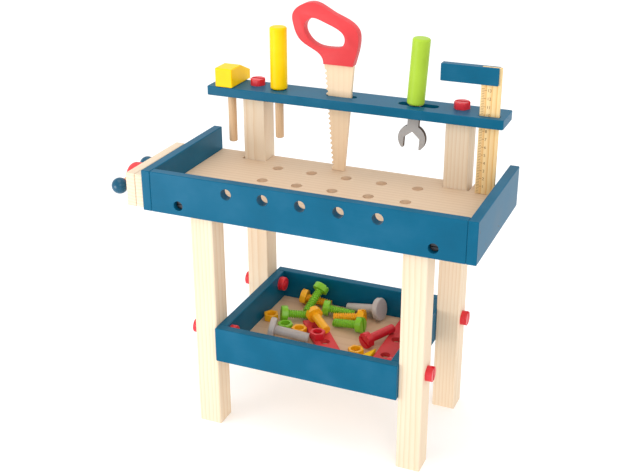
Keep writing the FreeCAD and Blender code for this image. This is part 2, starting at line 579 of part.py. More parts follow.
def make_hammer():
    """Hammer with a square face and a peen that slopes down to the back."""
    front = SHELF_FRONT + HAMMER_FROM_SHELF_FRONT
    profile = [(front, 0), (front + HAMMER_LENGTH, 0), (front + HAMMER_LENGTH, HAMMER_PEEN_HEIGHT),
               (front + HAMMER_FACE_LENGTH, HAMMER_HEIGHT), (front, HAMMER_HEIGHT)]
    points = [Vec(HAMMER_X - HAMMER_WIDTH / 2, y, TOOL_SEAT + z) for y, z in profile + profile[:1]]
    head = Part.Face(Part.makePolygon(points)).extrude(Vec(HAMMER_WIDTH, 0, 0))
    head = softened(head, PAINTED_EDGE_ROUND)
    socket = rod(Vec(HAMMER_X, TOOL_LINE, TOOL_SEAT), Z_AXIS, DOWEL_RADIUS + SEAT_CLEARANCE, DOWEL_SOCKET)
    write("hammer_head", head.cut(socket))
    dowel = rod(Vec(HAMMER_X, TOOL_LINE, TOOL_SEAT + DOWEL_SOCKET), -Z_AXIS, DOWEL_RADIUS,
                DOWEL_SOCKET + HAMMER_DOWEL_LENGTH)
    write("hammer_handle", round_rims(dowel, Z_AXIS, DOWEL_ROUND, TOOL_SEAT - HAMMER_DOWEL_LENGTH))


def make_screwdriver():
    write("screwdriver_handle", grip(SCREWDRIVER_X, SCREWDRIVER_GRIP, DOWEL_RADIUS + SEAT_CLEARANCE,
                                     DOWEL_SOCKET))
    bottom = TOOL_SEAT - SCREWDRIVER_SHAFT
    shaft = rod(Vec(SCREWDRIVER_X, TOOL_LINE, bottom), Z_AXIS, DOWEL_RADIUS, SCREWDRIVER_SHAFT + DOWEL_SOCKET)
    write("screwdriver_shaft", round_rims(shaft, Z_AXIS, DOWEL_ROUND, bottom))


def make_saw():
    """Saw standing on the worktop through its slot, with a looped grip."""
    tip_z = WORKTOP_TOP + TOOL_GAP
    base_z = tip_z + SAW_BLADE_REACH
    neck_left, right = SAW_X - SAW_NECK_WIDTH / 2, SAW_X + SAW_NECK_WIDTH / 2
    tip_right = SAW_X + SAW_TIP_WIDTH / 2
    outline = [(tip_right - SAW_TIP_WIDTH, tip_z), (tip_right, tip_z), (right, base_z),
               (right, base_z + SAW_TANG), (neck_left, base_z + SAW_TANG), (neck_left, base_z)]
    blade = in_plane(polygon_xz(outline), SAW_THICKNESS, TOOL_LINE)
    start, end = Vec(tip_right - SAW_TIP_WIDTH, 0, tip_z), Vec(neck_left, 0, base_z)
    edge = end - start
    count = int((edge.Length - SAW_TOOTH_PITCH) / SAW_TOOTH_PITCH)
    gullets = []
    for i in range(1, count + 1):
        place = start + edge * (i * SAW_TOOTH_PITCH / edge.Length)
        gullets.append(rod(Vec(place.x, TOOL_LINE - SAW_THICKNESS, place.z), Y_AXIS,
                           SAW_GULLET_RADIUS, 2 * SAW_THICKNESS))
    write("saw_blade", blade.cut(gullets))

    def curve(points, closed):
        spline = Part.BSplineCurve()
        spline.interpolate(Points=[Vec(right + x, 0, base_z + z) for x, z in points], PeriodicFlag=closed)
        return spline.toShape()

    back = [(-SAW_NECK_WIDTH, 0), (-41.7, 9), (-58, 20), (-71.3, 29), (-79.3, 46), (-80.3, 59), (-68, 71.5),
            (-52, 74.8), (-28, 64), (-2.5, 52), (5.4, 43), (7, 33), (4.2, 15), (0, 0)]
    outer = Part.Wire([curve(back, False), Part.makeLine(Vec(right, 0, base_z), Vec(neck_left, 0, base_z))])
    opening = [(-59, 54), (-65, 43.5), (-55, 26.5), (-29, 20.5), (-12.5, 26), (-11.5, 36), (-20.5, 44.8),
               (-38, 52), (-50, 56)]
    body = in_plane(outer, SAW_HANDLE_THICKNESS, TOOL_LINE)
    hole = in_plane(Part.Wire([curve(opening, True)]), SAW_HANDLE_THICKNESS, TOOL_LINE)
    tang = block(neck_left - SEAT_CLEARANCE, right + SEAT_CLEARANCE, TOOL_LINE - SAW_THICKNESS / 2,
                 TOOL_LINE + SAW_THICKNESS / 2, base_z - 1, base_z + SAW_TANG + SEAT_CLEARANCE)
    write("saw_handle", body.cut([hole, tang]))


def make_wrench():
    """Open-ended wrench leaning in its slot: flat jaw below the shelf, turned grip above it."""
    centre_z = TOOL_SEAT - WRENCH_DROP
    bottom_z = TOOL_SEAT - WRENCH_REACH
    x = WRENCH_X
    half_neck = WRENCH_NECK / 2
    disc = rod(Vec(x, 0, centre_z), Y_AXIS, WRENCH_HEAD_RADIUS, WRENCH_THICKNESS)
    disc = disc.cut(block(x - WRENCH_HEAD_RADIUS, x + WRENCH_HEAD_RADIUS, 0, WRENCH_THICKNESS,
                          centre_z - 2 * WRENCH_HEAD_RADIUS, bottom_z))
    neck = block(x - half_neck, x + half_neck, 0, WRENCH_THICKNESS, centre_z, TOOL_SEAT + WRENCH_TANG)
    half_mouth = WRENCH_MOUTH / 2
    corner_z = centre_z + WRENCH_CORNER_RISE
    mouth = polygon_xz([(x - half_mouth, bottom_z - CUT_PAST), (x + half_mouth, bottom_z - CUT_PAST),
                        (x + half_mouth, corner_z), (x, centre_z + WRENCH_APEX_RISE),
                        (x - half_mouth, corner_z)])
    jaw = disc.fuse(neck).removeSplitter()
    jaw = jaw.cut(Part.Face(mouth).extrude(Vec(0, WRENCH_THICKNESS, 0)))
    jaw.translate(Vec(0, TOOL_LINE - WRENCH_THICKNESS / 2, 0))
    pivot = Vec(x + GRIP_RADIUS, TOOL_LINE, TOOL_SEAT)
    jaw.rotate(pivot, Y_AXIS, WRENCH_TILT_DEG)
    write("wrench_jaw", jaw)
    body = round_rims(rod(Vec(x, TOOL_LINE, TOOL_SEAT), Z_AXIS, GRIP_RADIUS, WRENCH_GRIP), Z_AXIS, GRIP_ROUND)
    slot = block(x - half_neck - SEAT_CLEARANCE, x + half_neck + SEAT_CLEARANCE,
                 TOOL_LINE - WRENCH_THICKNESS / 2 - SEAT_CLEARANCE,
                 TOOL_LINE + WRENCH_THICKNESS / 2 + SEAT_CLEARANCE,
                 TOOL_SEAT - 1, TOOL_SEAT + WRENCH_TANG)
    body = body.cut(slot)
    body.rotate(pivot, Y_AXIS, WRENCH_TILT_DEG)
    write("wrench_handle", body)


def make_try_square():
    """Try square: ruled blade standing on the worktop, stock clasping its top."""
    x0, x1 = SQUARE_BLADE_X, SQUARE_BLADE_X + SQUARE_BLADE_WIDTH
    bottom = WORKTOP_TOP + TOOL_GAP
    top = bottom + SQUARE_BLADE_TOP
    half = SQUARE_BLADE_THICKNESS / 2
    blade = board(x0, x1, SQUARE_Y - half, SQUARE_Y + half, bottom, top, BLADE_ROUND)
    write("try_square_blade", blade)
    stock_right = x1 - SQUARE_BLADE_PROUD
    stock_x = stock_right - SQUARE_STOCK_LENGTH
    stock = board(stock_x, stock_right, SQUARE_Y - SQUARE_STOCK_THICKNESS / 2,
                  SQUARE_Y + SQUARE_STOCK_THICKNESS / 2, top - SQUARE_STOCK_HEIGHT, top)
    slot = block(x0 - SEAT_CLEARANCE, x1, SQUARE_Y - half - SEAT_CLEARANCE, SQUARE_Y + half + SEAT_CLEARANCE,
                 top - SQUARE_STOCK_HEIGHT, top)
    write("try_square_stock", stock.cut(slot))


def on_floor(x, y, z=0.0):
    """A place in the tray, counted from the middle of its clear floor."""
    return Vec((TRAY_LEFT + TRAY_RIGHT) / 2 + x, (TRAY_FRONT + TRAY_REAR) / 2 + y, TRAY_FLOOR_TOP + z)


def lying_bolt(x, y, heading_deg, head=(LOOSE_HEAD_RADIUS, LOOSE_HEAD_HEIGHT),
               shank=(LOOSE_SHANK_RADIUS, LOOSE_SHANK_LENGTH), head_lift=TOOL_GAP, tip_lift=TOOL_GAP,
               slotted=True):
    """A bolt or nail whose head's rim and whose tip rest at their own heights over the floor."""
    (head_radius, head_height), (shank_radius, shank_length) = head, shank
    step = head_radius - shank_radius
    slope = math.atan2(step, shank_length) + math.asin(
        (head_lift - tip_lift) / math.hypot(shank_length, step))
    heading = math.radians(heading_deg)
    direction = Vec(math.cos(heading) * math.cos(slope), math.sin(heading) * math.cos(slope),
                    -math.sin(slope))
    seat = on_floor(x, y, head_lift + head_radius * math.cos(slope))
    if slotted:
        return slotted_bolt(seat, direction, shank_length, head_radius, head_height, shank_radius)
    top = round_rims(rod(Vec(0, 0, -head_height), Z_AXIS, head_radius, head_height), Z_AXIS,
                     head_height / 4)
    body = top.fuse(rod(Vec(0, 0, 0), Z_AXIS, shank_radius, shank_length)).removeSplitter()
    return aligned(body, seat, direction)


def flat_nut(x, y, turn_deg, lift=TOOL_GAP):
    nut = hexagon_prism(LOOSE_NUT_RADIUS, LOOSE_NUT_HEIGHT)
    nut = nut.cut(rod(Vec(0, 0, 0), Z_AXIS, LOOSE_SHANK_RADIUS + LOOSE_NUT_CLEARANCE, LOOSE_NUT_HEIGHT))
    nut.rotate(Vec(0, 0, 0), Z_AXIS, turn_deg)
    nut.translate(on_floor(x, y, lift))
    return nut


def flat_bar(x, y, heading_deg):
    """A three-hole joining bar lying flat, its middle at (x, y)."""
    half = BAR_LENGTH / 2
    bar = board(-half, half, -BAR_WIDTH / 2, BAR_WIDTH / 2, 0, BAR_THICKNESS)
    hole_radius = LOOSE_SHANK_RADIUS + BAR_HOLE_CLEARANCE
    bar = bar.cut([rod(Vec(i * BAR_PITCH, 0, 0), Z_AXIS, hole_radius, BAR_THICKNESS) for i in (-1, 0, 1)])
    bar.rotate(Vec(0, 0, 0), Z_AXIS, heading_deg)
    bar.translate(on_floor(x, y, TOOL_GAP))
    return bar


def wedge(x, y, turn_deg):
    corners = [Vec(0, 0, 0), Vec(WEDGE_WIDTH, 0, 0), Vec(WEDGE_WIDTH, WEDGE_LENGTH, 0), Vec(0, 0, 0)]
    body = Part.Face(Part.makePolygon(corners)).extrude(Vec(0, 0, WEDGE_HEIGHT))
    body.rotate(Vec(0, 0, 0), Z_AXIS, turn_deg)
    body.translate(on_floor(x, y, TOOL_GAP))
    return body


def make_loose_parts():
    """Bolts, nails, nuts, bars and a wedge, each clear of the others seen from above."""
    nail = dict(head=(NAIL_HEAD_RADIUS, NAIL_HEAD_HEIGHT), shank=(NAIL_SHANK_RADIUS, NAIL_SHANK_LENGTH),
                slotted=False)
    on_bar = BAR_THICKNESS + 2 * TOOL_GAP
    write("yellow_bolt_1", lying_bolt(-69.0, 75.0, 2.0))
    write("green_bolt_1", lying_bolt(-50.0, 73.5, 253.0, head_lift=LEAN_LIFT))
    write("green_bolt_2", lying_bolt(-75.0, 20.0, 30.0))
    write("green_bolt_3", lying_bolt(-28.0, 55.5, 11.0))
    write("green_bolt_4", lying_bolt(24.0, 27.5, 176.0))
    write("yellow_bolt_2", lying_bolt(18.0, 48.5, 187.0))
    write("yellow_bolt_3", lying_bolt(-33.0, 18.5, 318.0, head_lift=on_bar, tip_lift=on_bar))
    write("red_bolt", lying_bolt(51.0, -3.0, 62.0, shank=(LOOSE_SHANK_RADIUS, LONG_SHANK_LENGTH),
                                 tip_lift=on_bar + TOOL_GAP))
    write("grey_nail_1", lying_bolt(-68.0, -34.0, 15.0, **nail))
    write("grey_nail_2", lying_bolt(35.0, 71.0, 172.0, **nail))
    write("red_bar_1", flat_bar(-2.0, -23.0, 128.0))
    write("red_bar_2", flat_bar(81.5, 17.0, 90.0))
    write("green_nut", flat_nut(-68.0, -2.0, 10.0))
    write("yellow_nut_1", flat_nut(-97.0, 16.0, 0.0))
    write("yellow_nut_2", flat_nut(-46.0, -6.0, 20.0))
    write("yellow_nut_3", flat_nut(43.0, -29.0, 5.0))
    write("red_nut", flat_nut(-15.0, -17.0, 35.0, lift=on_bar))
    write("yellow_wedge", wedge(53.0, -42.0, 0.0))


os.makedirs("parts", exist_ok=True)
make_box(make_staples())
make_legs()
make_shelf()
make_tray()
make_vise()
make_hammer()
make_screwdriver()
make_saw()
make_wrench()
make_try_square()
make_loose_parts()
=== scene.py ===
"""Looks of a child's wooden workbench: paint, pine, plywood and moulded plastic, with real threads,
ruler marks and softened edges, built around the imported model. All lengths are in metres."""

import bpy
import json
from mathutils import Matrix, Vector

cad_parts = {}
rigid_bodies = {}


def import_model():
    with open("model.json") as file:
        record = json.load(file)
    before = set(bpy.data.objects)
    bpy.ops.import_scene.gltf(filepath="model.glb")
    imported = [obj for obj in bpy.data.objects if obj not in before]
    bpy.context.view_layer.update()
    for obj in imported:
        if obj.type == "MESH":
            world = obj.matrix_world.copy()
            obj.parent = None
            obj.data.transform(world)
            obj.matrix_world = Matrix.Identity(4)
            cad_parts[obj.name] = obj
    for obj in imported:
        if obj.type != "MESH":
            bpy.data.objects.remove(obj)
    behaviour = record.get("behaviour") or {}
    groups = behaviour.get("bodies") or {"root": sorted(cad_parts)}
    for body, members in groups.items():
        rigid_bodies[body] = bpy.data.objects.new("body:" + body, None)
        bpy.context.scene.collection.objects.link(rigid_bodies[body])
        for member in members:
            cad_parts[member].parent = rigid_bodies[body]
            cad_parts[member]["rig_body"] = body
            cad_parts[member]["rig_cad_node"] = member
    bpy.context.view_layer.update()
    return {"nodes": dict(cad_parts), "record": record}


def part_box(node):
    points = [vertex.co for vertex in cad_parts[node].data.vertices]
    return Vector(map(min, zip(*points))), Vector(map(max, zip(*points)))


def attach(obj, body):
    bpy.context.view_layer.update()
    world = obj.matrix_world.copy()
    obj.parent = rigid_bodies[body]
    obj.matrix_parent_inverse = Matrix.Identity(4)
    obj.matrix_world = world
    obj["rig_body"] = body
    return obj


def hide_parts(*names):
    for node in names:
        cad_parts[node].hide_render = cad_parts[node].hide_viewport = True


bl_info = {
    "name": "Toy Workbench Finish",
    "version": (1, 0, 0),
    "blender": (4, 5, 0),
    "location": "View3D > Sidebar > Workbench",
    "description": "Finishes a toy workbench with painted wood, bare pine, plastic bolts and ruler marks",
    "category": "Object",
}

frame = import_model()

import json
import math

import bpy
import numpy as np
from bpy.props import FloatProperty, FloatVectorProperty, IntProperty, PointerProperty
from mathutils import Matrix, Vector

MM = 0.001

# Camera and studio
CAMERA_PLACE = (0.48645, -1.1318, 0.7967)
CAMERA_AZIMUTH, CAMERA_ELEVATION, CAMERA_ROLL = (math.radians(a) for a in (23.073, 23.923, -0.2))
CAMERA_LENS_MM = 60.8
FLOOR_SIZE = 8.0
FLOOR_GLOW = 0.2
SOFTBOXES = (
    ("key", (-0.75, -0.85, 0.25), (-0.12, -0.1, 0.25), (0.6, 0.4), 4.5),
    ("top", (-0.2, -0.2, 2.2), (0, 0, 0.3), (1.6, 1.2), 9.0),
    ("fill", (1.2, -1.6, 1.4), (0, 0.08, 0.38), (1.0, 1.0), 7.0),
)

# Loose bolts, vise screw and mesh cleaning
BOLT_HEAD_RADIUS = 10.8 * MM
BOLT_HEAD_HEIGHT = 8.5 * MM
BOLT_SHANK_RADIUS = 5.8 * MM
SHANK_SUNK_IN_HEAD = 1.0 * MM
HEAD_ROUND = 1.6 * MM
HEAD_CORNER = 1.08
SCREW_RADIUS = 7.0 * MM
FLANGE_RADIUS = 9.9 * MM
FLANGE_DEPTH = 4.0 * MM
FLANGE_GAP = 0.3 * MM
MERGE = 0.01 * MM
BISECT = 0.001 * MM

# Width of one band of a wave texture whose scale is 1
WAVE_BAND = math.pi / 10

# Ruler print
INK_DEPTH = 0.06 * MM
TICK_HEIGHT = 0.45 * MM
LONG_TICK, SHORT_TICK = 6.0 * MM, 3.4 * MM
TICK_FROM_EDGE = 1.2 * MM
NUMBER_FROM_EDGE = 8.0 * MM
NUMBER_DROP = 1.8 * MM
NUMBER_SIZE = 5.2 * MM
PRINT_BELOW_STOCK = 3.0 * MM
CENTIMETRE = 10.0 * MM

LOOSE_BOLTS = {
    "green_bolt_1": "green", "green_bolt_2": "green", "green_bolt_3": "green", "green_bolt_4": "green",
    "yellow_bolt_1": "yellow", "yellow_bolt_2": "yellow",
}
SOFTENED = {
    "saw_handle": 1.6, "saw_blade": 0.4, "wrench_jaw": 0.5, "green_nut": 0.9, "yellow_nut_1": 0.9,
    "yellow_nut_2": 0.9, "yellow_nut_3": 0.9, "red_nut": 0.9, "yellow_wedge": 0.7,
}


# ---------------------------------------------------------------- colours and settings

def linear(code):
    """The linear colour of an sRGB hex value."""
    parts = [int(code[i:i + 2], 16) / 255 for i in (1, 3, 5)]
    return [p / 12.92 if p <= 0.04045 else ((p + 0.055) / 1.055) ** 2.4 for p in parts]


def colour(name, code):
    return FloatVectorProperty(name=name, description=f"{name} of the finish", subtype="COLOR",
                               size=3, min=0.0, max=1.0, default=linear(code))


class WorkbenchColours(bpy.types.PropertyGroup):
    """Colours of the paints, woods and plastics."""
    blue: colour("Blue paint", "#005C7C")
    red: colour("Red paint", "#DB4347")
    yellow: colour("Yellow paint", "#FFD000")
    green: colour("Green paint", "#A9CB3C")
    grey: colour("Grey paint", "#AEABA9")
    cut_edge: colour("Scorched cut edge", "#5A4638")
    pine_pale: colour("Pine, early wood", "#ECDAC2")
    pine_dark: colour("Pine, late wood", "#DEBF98")
    ply_pale: colour("Plywood, pale", "#E0C5A8")
    ply_dark: colour("Plywood, dark", "#CDAC8A")
    dowel: colour("Beech dowel", "#E3BF97")
    red_plastic: colour("Red plastic", "#DE2331")
    yellow_plastic: colour("Yellow plastic", "#FFBA14")
    green_plastic: colour("Green plastic", "#84CC2C")
    grey_plastic: colour("Grey plastic", "#BDB8B6")
    ink: colour("Ruler ink", "#7A4A22")
    floor: colour("Floor", "#F4F4F4")


class WorkbenchSizes(bpy.types.PropertyGroup):
    """Sizes of the details that are added to the design."""
    thread_pitch: FloatProperty(name="Thread pitch", description="Pitch of the toy bolts' thread",
                                unit="LENGTH", default=3.2 * MM)
    thread_depth: FloatProperty(name="Thread depth", description="Depth of the toy bolts' thread",
                                unit="LENGTH", default=1.5 * MM)
    screw_pitch: FloatProperty(name="Screw pitch", description="Pitch of the vise screw",
                               unit="LENGTH", default=8.0 * MM)
    screw_depth: FloatProperty(name="Screw depth", description="Depth of the vise screw's thread",
                               unit="LENGTH", default=1.8 * MM)
    slot_width: FloatProperty(name="Slot width", description="Width of the slot across a bolt's head",
                              unit="LENGTH", default=3.8 * MM)
    slot_depth: FloatProperty(name="Slot depth", description="Depth of the slot across a bolt's head",
                              unit="LENGTH", default=3.4 * MM)
    tick_step: FloatProperty(name="Tick step", description="Distance between two ruler ticks",
                             unit="LENGTH", default=2.0 * MM)
    turn_steps: IntProperty(name="Turn steps", description="Faces round a thread", default=28)


def colours():
    return bpy.context.scene.workbench_colours


def sizes():
    return bpy.context.scene.workbench_sizes


# ---------------------------------------------------------------- selection and modelling helpers

def pick(*things):
    """Leave edit mode and select just these objects, the first one active."""
    if bpy.context.mode != "OBJECT":
        bpy.ops.object.mode_set(mode="OBJECT")
    bpy.ops.object.select_all(action="DESELECT")
    for thing in things:
        thing.select_set(True)
    if things:
        bpy.context.view_layer.objects.active = things[0]


def settle():
    """Put the active object's place, turn and scale into its mesh."""
    bpy.ops.object.transform_apply(location=True, rotation=True, scale=True)
    return bpy.context.object


def select_edges(thing, test):
    """Enter edit mode with only the edges selected whose two ends pass the test."""
    pick(thing)
    mesh = thing.data
    for group in (mesh.vertices, mesh.edges, mesh.polygons):
        group.foreach_set("select", [False] * len(group))
    for edge in mesh.edges:
        start, end = (mesh.vertices[i].co for i in edge.vertices)
        edge.select = test(start, end)
    bpy.ops.object.mode_set(mode="EDIT")
    bpy.ops.mesh.select_mode(type="EDGE")


def modify(thing, kind, **settings):
    """Add a modifier with its settings and apply it."""
    pick(thing)
    modifier = thing.modifiers.new(kind.lower(), kind)
    for name, value in settings.items():
        setattr(modifier, name, value)
    bpy.ops.object.modifier_apply(modifier=modifier.name)


def tidy_normals(thing):
    """Merge vertices that coincide and turn every face outward."""
    pick(thing)
    bpy.ops.object.mode_set(mode="EDIT")
    bpy.ops.mesh.select_all(action="SELECT")
    bpy.ops.mesh.remove_doubles(threshold=MERGE)
    bpy.ops.mesh.normals_make_consistent(inside=False)
    bpy.ops.object.mode_set(mode="OBJECT")


def smooth(thing, angle_deg):
    """Shade smooth, with edges sharper than the angle left crisp."""
    pick(thing)
    bpy.ops.object.shade_smooth_by_angle(angle=math.radians(angle_deg))


def copy_of(thing, name):
    """A named copy of an object with a mesh of its own."""
    pick(thing)
    bpy.ops.object.duplicate()
    copy = bpy.context.object
    copy.name = name
    copy.data.name = name
    return copy


def dress(piece, material):
    """Give a piece one material and return the piece."""
    piece.data.materials.clear()
    piece.data.materials.append(material)
    return piece


def body_of_node(node):
    bodies = frame["record"]["behaviour"]["bodies"]
    return next(body for body, nodes in bodies.items() if node in nodes)


def stand_for(piece, node, material):
    """The piece takes the place of a design node, with its body and material slot."""
    piece.name = f"{node}_finished"
    piece.data.name = piece.name
    dress(piece, material)
    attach(piece, body_of_node(node))
    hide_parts(node)


def turned_frame(node):
    """Start, axis and side direction of a long turned node, from its own faces.

    The axis is the direction along which the node is longest among those its face normals
    single out, and the start is the end where the node is widest. The side is square to the
    walls of the slot across the head, the only flat pair that stands out round the axis."""
    mesh = frame["nodes"][node].data
    points = np.array([v.co for v in mesh.vertices])
    normals = np.array([p.normal for p in mesh.polygons])
    areas = np.array([p.area for p in mesh.polygons])
    weights, ways = np.linalg.eigh((normals * areas[:, None]).T @ normals)
    spans = [np.ptp(points @ ways[:, i]) for i in range(3)]
    long_way = int(np.argmax(spans))
    axis = ways[:, long_way]
    side = ways[:, max((i for i in range(3) if i != long_way), key=lambda i: weights[i])]
    third = np.cross(axis, side)
    middle = [(np.min(points @ w) + np.max(points @ w)) / 2 for w in (axis, side, third)]
    centre = middle[0] * axis + middle[1] * side + middle[2] * third
    away = points - centre
    along = away @ axis
    radius = np.linalg.norm(away - np.outer(along, axis), axis=1)
    low_end = radius[along < 0].max()
    high_end = radius[along > 0].max()
    if high_end > low_end:
        axis = -axis
    start = centre - axis * max(spans) / 2
    return Vector(start), Vector(axis), Vector(side), max(spans)


def place_along(piece, start, axis, side):
    """Move a piece made along +Z from the origin to a start, an axis and a side direction."""
    third = axis.cross(side)
    turn = Matrix((side, third, axis)).transposed().to_4x4()
    piece.matrix_world = Matrix.Translation(start) @ turn
    pick(piece)
    return settle()


# ---------------------------------------------------------------- materials

def add(material, kind, settings=None, values=None, links=None):
    """Add one shader node with its settings, input values and input links, and return it."""
    tree = material.node_tree
    node = tree.nodes.new(kind)
    for name, value in (settings or {}).items():
        setattr(node, name, value)
    for name, value in (values or {}).items():
        node.inputs[name].default_value = value
    for name, output in (links or {}).items():
        tree.links.new(output, node.inputs[name])
    return node


def connect(material, output, socket):
    material.node_tree.links.new(output, socket)


def new_material(name):
    """An empty node material with its shader and output; returns the material and the shader."""
    material = bpy.data.materials.new(name)
    material.use_nodes = True
    material.node_tree.nodes.clear()
    shader = add(material, "ShaderNodeBsdfPrincipled")
    add(material, "ShaderNodeOutputMaterial", links={"Surface": shader.outputs["BSDF"]})
    return material, shader


def opaque(rgb):
    return (*rgb, 1.0)


def ramp(material, factor, stops):
    """A colour ramp through (position, rgb) stops."""
    node = add(material, "ShaderNodeValToRGB", links={"Fac": factor})
    elements = node.color_ramp.elements
    while len(elements) < len(stops):
        elements.new(0.5)
    for element, (position, rgb) in zip(elements, stops):
        element.position = position
        element.color = opaque(rgb)
    return node.outputs["Color"]


def grain_space(material, along, pith):
    """Object coordinates turned so that the grain runs along Z, with the pith moved to the origin."""
    turns = {"X": (0.0, math.radians(-90), 0.0), "Y": (math.radians(90), 0.0, 0.0), "Z": (0.0, 0.0, 0.0)}
    place = add(material, "ShaderNodeTexCoord")
    turned = add(material, "ShaderNodeMapping", values={"Rotation": turns[along]},
                 links={"Vector": place.outputs["Object"]})
    moved = add(material, "ShaderNodeMapping", values={"Location": (-pith[0], -pith[1], pith[2])},
                links={"Vector": turned.outputs["Vector"]})
    return moved.outputs["Vector"]


def wood(name, along, pith, pale, dark, ring_mm=4.5, contrast=1.0, roughness=0.62, fibre_mm=0.7):
    """Sanded bare softwood or plywood.

    Growth rings are bands round the pith, late wood darker and narrower than early wood, and the
    fibres are long streaks along the grain that show as a faint silky roughness."""
    material, shader = new_material(name)
    space = grain_space(material, along, pith)
    wander = add(material, "ShaderNodeMapping", values={"Scale": (1.0, 1.0, 0.12)}, links={"Vector": space})
    drift = add(material, "ShaderNodeTexNoise", values={"Scale": 14.0, "Detail": 2.0, "Roughness": 0.5},
                links={"Vector": wander.outputs["Vector"]})
    shift = add(material, "ShaderNodeVectorMath", {"operation": "MULTIPLY_ADD"},
                {1: (0.012, 0.012, 0.0)}, {0: drift.outputs["Color"], 2: space})
    rings = add(material, "ShaderNodeTexWave",
                {"wave_type": "RINGS", "rings_direction": "Z", "wave_profile": "SAW"},
                {"Scale": WAVE_BAND / (ring_mm * MM), "Distortion": 0.6, "Detail": 1.0,
                 "Detail Scale": 0.8}, {"Vector": shift.outputs["Vector"]})
    late = add(material, "ShaderNodeMath", {"operation": "POWER", "use_clamp": True}, {1: 3.0},
               {0: rings.outputs["Fac"]})
    streak_space = add(material, "ShaderNodeMapping",
                       values={"Scale": (1 / (fibre_mm * MM), 1 / (fibre_mm * MM), 1 / (45 * MM))},
                       links={"Vector": space})
    streaks = add(material, "ShaderNodeTexNoise", values={"Scale": 1.0, "Detail": 3.0, "Roughness": 0.6},
                  links={"Vector": streak_space.outputs["Vector"]})
    patches = add(material, "ShaderNodeTexNoise", values={"Scale": 30.0, "Detail": 2.0},
                  links={"Vector": wander.outputs["Vector"]})
    mix_rings = add(material, "ShaderNodeMath", {"operation": "MULTIPLY_ADD", "use_clamp": True},
                    {1: 0.62 * contrast}, {0: late.outputs[0]})
    fibre_part = add(material, "ShaderNodeMath", {"operation": "MULTIPLY_ADD"}, {1: 0.55 * contrast},
                     {0: streaks.outputs["Fac"]})
    patch_part = add(material, "ShaderNodeMath", {"operation": "MULTIPLY_ADD"},
                     {1: 0.35 * contrast, 2: -0.30 * contrast}, {0: patches.outputs["Fac"]})
    connect(material, patch_part.outputs[0], fibre_part.inputs[2])
    connect(material, fibre_part.outputs[0], mix_rings.inputs[2])
    base = ramp(material, mix_rings.outputs[0], [(0.0, pale), (0.45, [0.55 * p + 0.45 * d for p, d
                in zip(pale, dark)]), (1.0, dark)])
    connect(material, base, shader.inputs["Base Color"])
    rough = add(material, "ShaderNodeMapRange", values={"To Min": roughness - 0.08,
                "To Max": roughness + 0.08}, links={"Value": streaks.outputs["Fac"]})
    connect(material, rough.outputs["Result"], shader.inputs["Roughness"])
    bump = add(material, "ShaderNodeBump", values={"Strength": 0.25, "Distance": 0.12 * MM},
               links={"Height": streaks.outputs["Fac"]})
    connect(material, bump.outputs["Normal"], shader.inputs["Normal"])
    shader.inputs["IOR"].default_value = 1.45
    shader.inputs["Specular IOR Level"].default_value = 0.35
    return material


def paint(name, rgb, along="X", roughness=0.36, grain=0.35, coat=0.02):
    """Sprayed satin lacquer on sanded wood.

    The film follows the grain beneath as faint long ridges, has a fine orange peel, and its colour
    drifts a little where it is thicker."""
    material, shader = new_material(name)
    place = add(material, "ShaderNodeTexCoord")
    long_mm, across_mm = 30.0, 1.2
    scale = [1 / ((long_mm if axis == along else across_mm) * MM) for axis in "XYZ"]
    stretched = add(material, "ShaderNodeMapping", values={"Scale": scale},
                    links={"Vector": place.outputs["Object"]})
    ridges = add(material, "ShaderNodeTexNoise", values={"Scale": 1.0, "Detail": 3.0, "Roughness": 0.55},
                 links={"Vector": stretched.outputs["Vector"]})
    peel = add(material, "ShaderNodeTexNoise", values={"Scale": 1 / (1.6 * MM), "Detail": 1.0},
               links={"Vector": place.outputs["Object"]})
    cloud = add(material, "ShaderNodeTexNoise", values={"Scale": 1 / (45 * MM), "Detail": 3.0},
                links={"Vector": place.outputs["Object"]})
    tone = add(material, "ShaderNodeMath", {"operation": "MULTIPLY_ADD"}, {1: 0.4 * grain},
               {0: ridges.outputs["Fac"], 2: cloud.outputs["Fac"]})
    deep = [c * 0.86 for c in rgb]
    light = [min(1.0, c * 1.10 + 0.012) for c in rgb]
    base = ramp(material, tone.outputs[0], [(0.25, deep), (0.55, list(rgb)), (0.9, light)])
    connect(material, base, shader.inputs["Base Color"])
    rough = add(material, "ShaderNodeMapRange", values={"To Min": roughness - 0.05,
                "To Max": roughness + 0.07}, links={"Value": cloud.outputs["Fac"]})
    connect(material, rough.outputs["Result"], shader.inputs["Roughness"])
    height = add(material, "ShaderNodeMath", {"operation": "MULTIPLY_ADD"}, {1: grain},
                 {0: ridges.outputs["Fac"], 2: peel.outputs["Fac"]})
    bump = add(material, "ShaderNodeBump", values={"Strength": 0.18, "Distance": 0.10 * MM},
               links={"Height": height.outputs[0]})
    connect(material, bump.outputs["Normal"], shader.inputs["Normal"])
    shader.inputs["IOR"].default_value = 1.5
    shader.inputs["Specular IOR Level"].default_value = 0.12
    shader.inputs["Coat Weight"].default_value = coat
    shader.inputs["Coat Roughness"].default_value = 0.22
    return material


